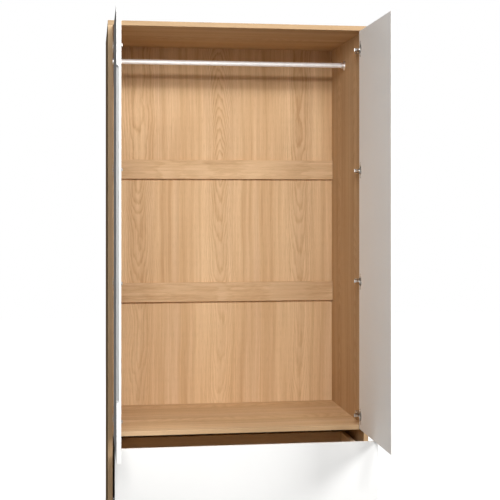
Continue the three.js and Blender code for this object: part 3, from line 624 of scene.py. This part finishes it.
# Concealed hinges: nickel-plated pressed steel, four to a door. The cup is let into the door and held by
# two screws. The arm slides on a winged plate, which two screws hold to the side, and one screw in the
# arm's slot clamps it there.
hinge_nickel = metal("hinge_nickel", (0.6, 0.585, 0.56), (140, 140, 140), smooth=0.26, rough=0.4)
HINGE_COUNT = 4
PLATE_SHEET = 0.0012
WEB_FACE = 0.0147
WING_MIDDLE = 0.027
WING_SCREW = 0.016
SLOT_MIDDLE = 0.0125
SET_SCREW = 0.0232
CUP_SCREW = 0.0243
HINGE_HEAD = 0.0036
SET_HEAD = 0.0019
for side, inward in (("left", 1), ("right", -1)):
    way = (inward, 0, 0)
    plate_screws = []
    clamp_screws = []
    set_screws = []
    cup_screws = []
    for number in range(1, HINGE_COUNT + 1):
        arm, link, cup = (f"hinge_{part}_{side}_{number}" for part in ("arm", "link", "cup"))
        for name in (arm, link, cup):
            dress(name, hinge_nickel)
        low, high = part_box(arm)
        wall = low.x if side == "left" else high.x
        wing = wall + inward * PLATE_SHEET
        web = wall + inward * WEB_FACE
        middle = (low.z + high.z) / 2
        plate_screws += [((wing, high.y - WING_MIDDLE, middle + up), way) for up in (-WING_SCREW, WING_SCREW)]
        clamp_screws.append(((web, high.y - SLOT_MIDDLE, middle), way))
        set_screws.append(((web, high.y - SET_SCREW, middle), way))
        low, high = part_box(cup)
        flange = high.x if side == "left" else low.x
        depth = (low.y + high.y) / 2
        cup_screws += [((flange, depth, middle + up), way) for up in (-CUP_SCREW, CUP_SCREW)]
    for name, places, body, radius in (
        ("plate_screws", plate_screws, "carcass", HINGE_HEAD),
        ("clamp_screws", clamp_screws, "carcass", HINGE_HEAD),
        ("set_screws", set_screws, "carcass", SET_HEAD),
        ("cup_screws", cup_screws, f"door_{side}", HINGE_HEAD),
    ):
        domed_heads(f"{name}_{side}", places, body, radius, SCREW_DOME, screw_steel, "nickel", CROSS_DEPTH)

# Drawer: a box of 16 mm board, veneered with a plainer oak, behind the white front, with a thin bottom in
# grooves. Turned cam discs in its sides pull the front tight. The same discs under the closet floor and
# the bottom panel pull these to the carcass sides.
DRAWER_OAK = {
    "Light": (0.76, 0.58, 0.39, 1),
    "Dark": (0.62, 0.44, 0.275, 1),
    "Grey": (0.7, 0.54, 0.38, 1),
    "Pore": (0.45, 0.3, 0.18, 1),
}
for name, across, along, shift in (
    ("drawer_side_left", "Z", "Y", (-0.25, 0.46, 0.9)),
    ("drawer_side_right", "Z", "Y", (-0.2, -0.46, 3.9)),
    ("drawer_back", "Z", "X", (-0.25, -0.22, 2.6)),
    ("drawer_bottom", "X", "Y", (0.1, -0.12, 8.2)),
):
    dress(name, veneer(name, across, along, shift, {"Arch": 0.3, "Heart": 0.03, **DRAWER_OAK}))
cam_zinc = metal("cam_zinc", (0.62, 0.62, 0.63), (120, 120, 120), smooth=0.3, rough=0.5)
CAM_RADIUS = 0.0075
CAM_RISE = 0.0004
CAM_SIDES = 28
CAM_KIND = (CAM_RADIUS, CAM_RISE, cam_zinc, "zinc", CROSS_DEPTH, CAM_SIDES)
CAM_FROM_FRONT = 0.024
CAM_SHARES = (0.3, 0.8)
drawer_cams = []
for side, inward in (("left", 1), ("right", -1)):
    low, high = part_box(f"drawer_side_{side}")
    face = high.x if side == "left" else low.x
    rises = [low.z + share * (high.z - low.z) for share in CAM_SHARES]
    drawer_cams += [((face, low.y + CAM_FROM_FRONT, rise), (inward, 0, 0)) for rise in rises]
domed_heads("drawer_cams", drawer_cams, "drawer", *CAM_KIND)
CAM_FROM_SIDE = 0.026
CAM_DEPTHS = (0.06, 0.5)
shelf_cams = []
for name in ("closet_floor", "bottom_panel"):
    low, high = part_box(name)
    for x in (low.x + CAM_FROM_SIDE, high.x - CAM_FROM_SIDE):
        shelf_cams += [((x, low.y + back, low.z), (0, 0, -1)) for back in CAM_DEPTHS]
domed_heads("shelf_cams", shelf_cams, "carcass", *CAM_KIND)

# Telescopic runners: zinc-plated rolled channels, three to a side. Flat screws in their slots hold the
# outer one to the carcass and the inner one to the drawer, which a moulded lever lets go.
runner_zinc = metal("runner_zinc", (0.56, 0.57, 0.59), (900, 14, 900), smooth=0.26, rough=0.46)
RUNNER_SHEET = 0.0014
RUNNER_HEAD = 0.0034
FLAT_DOME = 0.0003
SLOT_SHARES = (0.074, 0.42, 0.85)


def slot_screws(node_name, name, body, back, way, dome):
    """Screw heads in the slots of a runner's web. Back is the web's far face, and they stand on its near
    face, pointing way."""
    low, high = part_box(node_name)
    middle = (low.z + high.z) / 2
    depths = [low.y + share * (high.y - low.y) for share in SLOT_SHARES]
    places = [((back + way * RUNNER_SHEET, depth, middle), (way, 0, 0)) for depth in depths]
    domed_heads(name, places, body, RUNNER_HEAD, dome, screw_steel, "zinc", CROSS_DEPTH)


NYLON = (0.012, 0.012, 0.013, 1)
NYLON_DUSTY = (0.045, 0.043, 0.04, 1)
NYLON_GRAIN = ((900.0, 900.0, 900.0), 2.0, 0.5)
DUST_GRAIN = ((90.0, 90.0, 90.0), 4.0, 0.5)
NYLON_ROUGHNESS = 0.45
DUST_ROUGHNESS = 0.25
NYLON_RELIEF = (0.3, 0.0002)


def moulded_nylon():
    material, tree, shader, place = new_material("moulded_nylon")
    grain = stretched_noise(tree, (-900, 0), place, *NYLON_GRAIN)
    dust = stretched_noise(tree, (-900, -250), place, *DUST_GRAIN)
    colour = mixed(tree, (-300, 100), dust, NYLON, NYLON_DUSTY)
    rough = math_node(tree, "MULTIPLY_ADD", (-300, -150), dust, DUST_ROUGHNESS, NYLON_ROUGHNESS)
    finish_skin(tree, shader, colour, rough, relief(tree, (-100, -300), grain, *NYLON_RELIEF))
    return material


nylon = moulded_nylon()
LEVER_LINE = (
    (0.0, 0.0),
    (0.012, 0.0012),
    (0.03, 0.0),
    (0.048, -0.0035),
    (0.062, -0.0075),
    (0.07, -0.0078),
)
LEVER_HALF = 0.0016
LEVER_FLARE = 1.6
LEVER_THICK = 0.0022
LEVER_START = 0.03
LEVER_EDGE = 0.0005


def release_lever(side, inward):
    """A moulded finger with a turned-down tip, clipped on the drawer member's web near its front end."""
    low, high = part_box(f"runner_drawer_{side}")
    face = (high.x if inward > 0 else low.x) - inward * RUNNER_SHEET
    middle = (low.z + high.z) / 2
    lower = []
    upper = []
    for k, (along, up) in enumerate(LEVER_LINE):
        half = LEVER_HALF * (LEVER_FLARE if k in (0, len(LEVER_LINE) - 1) else 1.0)
        back = low.y + LEVER_START + along
        lower.append((back, middle + up - half))
        upper.append((back, middle + up + half))
    outline = lower + upper[::-1]
    mesh = bmesh.new()
    foot = [mesh.verts.new((face, y, z)) for y, z in outline]
    top = [mesh.verts.new((face - inward * LEVER_THICK, y, z)) for y, z in outline]
    mesh.faces.new(foot)
    mesh.faces.new(top)
    bridge(mesh, foot, top)
    lever = new_piece(f"release_lever_{side}", mesh, nylon)
    soft_edge = lever.modifiers.new("soft_edge", "BEVEL")
    soft_edge.width = LEVER_EDGE
    soft_edge.segments = 2
    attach(lever, "drawer")


for side, inward in (("left", 1), ("right", -1)):
    for member in ("cabinet", "middle", "drawer"):
        dress(f"runner_{member}_{side}", runner_zinc)
    cabinet, drawer = f"runner_cabinet_{side}", f"runner_drawer_{side}"
    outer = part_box(cabinet)[0 if inward > 0 else 1].x
    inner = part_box(drawer)[1 if inward > 0 else 0].x
    slot_screws(cabinet, f"cabinet_runner_screws_{side}", "carcass", outer, inward, FLAT_DOME)
    slot_screws(drawer, f"drawer_runner_screws_{side}", "drawer", inner, -inward, SCREW_DOME)
    release_lever(side, inward)

# Glides: four pads of the same black nylon with its grained skin, moulded with a nail each and driven in
# under the sides.
for side in ("left", "right"):
    for end in ("front", "rear"):
        dress(f"glide_{end}_{side}", nylon)

# Studio: a pale floor that keeps the closet's shadow and runs out into the white surround, which gives
# only a little light, and soft lamps high in front, at the right and behind. Round the closet the floor
# glows less, a painted shade about its foot.
FLOOR_HALF = 9.0
FLOOR_GREY = (0.2, 0.2, 0.2, 1)
# The ring within which the floor's glow is turned down, a painted shade, and the glow at its two edges.
PAINTED_SHADE_RING = (0.55, 1.0)
FLOOR_GLOW = (0.8, 1.0)
AMBIENT = 0.078
WHITE = (1, 1, 1, 1)


def seen_directly(tree):
    """1 for a ray from the camera and for one that gloss or glass sends on, else 0."""
    rays = add_node(tree, "ShaderNodeLightPath", (-800, -200)).outputs
    seen = math_node(tree, "MAXIMUM", (-600, -200), rays["Is Camera Ray"], rays["Is Glossy Ray"])
    return math_node(tree, "MAXIMUM", (-400, -200), seen, rays["Is Transmission Ray"])


def studio_floor():
    data = bpy.data.meshes.new("studio_floor")
    signs = ((-1, -1), (1, -1), (1, 1), (-1, 1))
    data.from_pydata([(x * FLOOR_HALF, y * FLOOR_HALF, 0) for x, y in signs], [], [(0, 1, 2, 3)])
    floor = bpy.data.objects.new("studio_floor", data)
    bpy.context.scene.collection.objects.link(floor)
    material = bpy.data.materials.new("studio_floor")
    material.use_nodes = True
    tree = material.node_tree
    tree.nodes.clear()
    paint = add_node(tree, "ShaderNodeBsdfDiffuse", (0, 0), {"Color": FLOOR_GREY}).outputs[0]
    place = add_node(tree, "ShaderNodeTexCoord", (-1200, -500)).outputs["Object"]
    # Painted shade: the floor glows less near the closet, so it reads darker round its foot.
    away = add_node(tree, "ShaderNodeVectorMath", (-1000, -500), {0: place}, operation="LENGTH")
    level = ranged(tree, (-800, -500), away.outputs["Value"], *PAINTED_SHADE_RING, *FLOOR_GLOW)
    strength = math_node(tree, "MULTIPLY", (-200, -200), seen_directly(tree), level)
    glow = add_node(tree, "ShaderNodeEmission", (0, -200), {"Color": WHITE, "Strength": strength}).outputs[0]
    both = add_node(tree, "ShaderNodeAddShader", (200, 0), {0: paint, 1: glow}).outputs[0]
    add_node(tree, "ShaderNodeOutputMaterial", (400, 0), {"Surface": both})
    data.materials.append(material)


studio_floor()

world = bpy.data.worlds.new("studio")
bpy.context.scene.world = world
world.use_nodes = True
sky = world.node_tree
sky.nodes.clear()
strength = math_node(sky, "MULTIPLY_ADD", (-300, 0), seen_directly(sky), 1.0 - AMBIENT, AMBIENT)
surround = add_node(sky, "ShaderNodeBackground", (-100, 0), {"Color": WHITE, "Strength": strength})
add_node(sky, "ShaderNodeOutputWorld", (100, 0), {"Surface": surround.outputs[0]})

for name, place, target, width, height, watts in (
    ("front_low_lamp", (-0.6, -4.5, 2.43), (-0.6, 0, 2.43), 1.3, 0.25, 50),
    ("front_high_lamp", (-0.6, -4.5, 3.5), (-0.6, 0, 3.5), 1.3, 1.1, 67),
    ("front_right_lamp", (1.25, -4.5, 3.3), (1.25, 0, 3.3), 0.7, 0.4, 60),
    ("near_lamp", (-0.2, -2.6, 2.5), (-0.2, 0, 1.2), 0.5, 0.7, 28),
    ("rear_lamp", (0.4, 4.5, 2.6), (0.2, 0.5, 1.4), 2.4, 1.6, 130),
    ("left_rear_lamp", (-3.4, 3.0, 2.2), (-0.5, 0.0, 1.0), 1.6, 1.6, 8),
    ("right_lamp", (3.0, -2.5, 2.6), (0.0, -0.7, 2.0), 1.6, 1.2, 120),
):
    lamp = bpy.data.lights.new(name, "AREA")
    lamp.shape = "RECTANGLE"
    lamp.size = width
    lamp.size_y = height
    lamp.energy = watts
    item = bpy.data.objects.new(name, lamp)
    item.location = place
    item.rotation_euler = (Vector(target) - Vector(place)).to_track_quat("-Z", "Y").to_euler()
    bpy.context.scene.collection.objects.link(item)

# Camera: it stands at the viewpoint of the photograph, 4.36 m before the carcass front, 57 cm left of its
# middle and 1.31 m up, and looks level, turned a little to the right. The shift places the closet.
CAMERA_LEFT = 0.5652
CAMERA_BEFORE = 4.3607
CAMERA_UP = 1.3063
CAMERA_TURN = 0.14998
SENSOR = 36.0
LENS = 83.08
SHIFT = (-0.0293, -0.0896)
carcass_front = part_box("side_panel_left")[0].y
camera = bpy.data.cameras.new("camera")
camera.sensor_width = SENSOR
camera.lens = LENS
camera.shift_x, camera.shift_y = SHIFT
viewer = bpy.data.objects.new("camera", camera)
viewer.location = (-CAMERA_LEFT, carcass_front - CAMERA_BEFORE, CAMERA_UP)
viewer.rotation_euler = (pi / 2, 0, -CAMERA_TURN)
bpy.context.scene.collection.objects.link(viewer)
bpy.context.scene.camera = viewer
bpy.context.scene.view_settings.view_transform = "Standard"
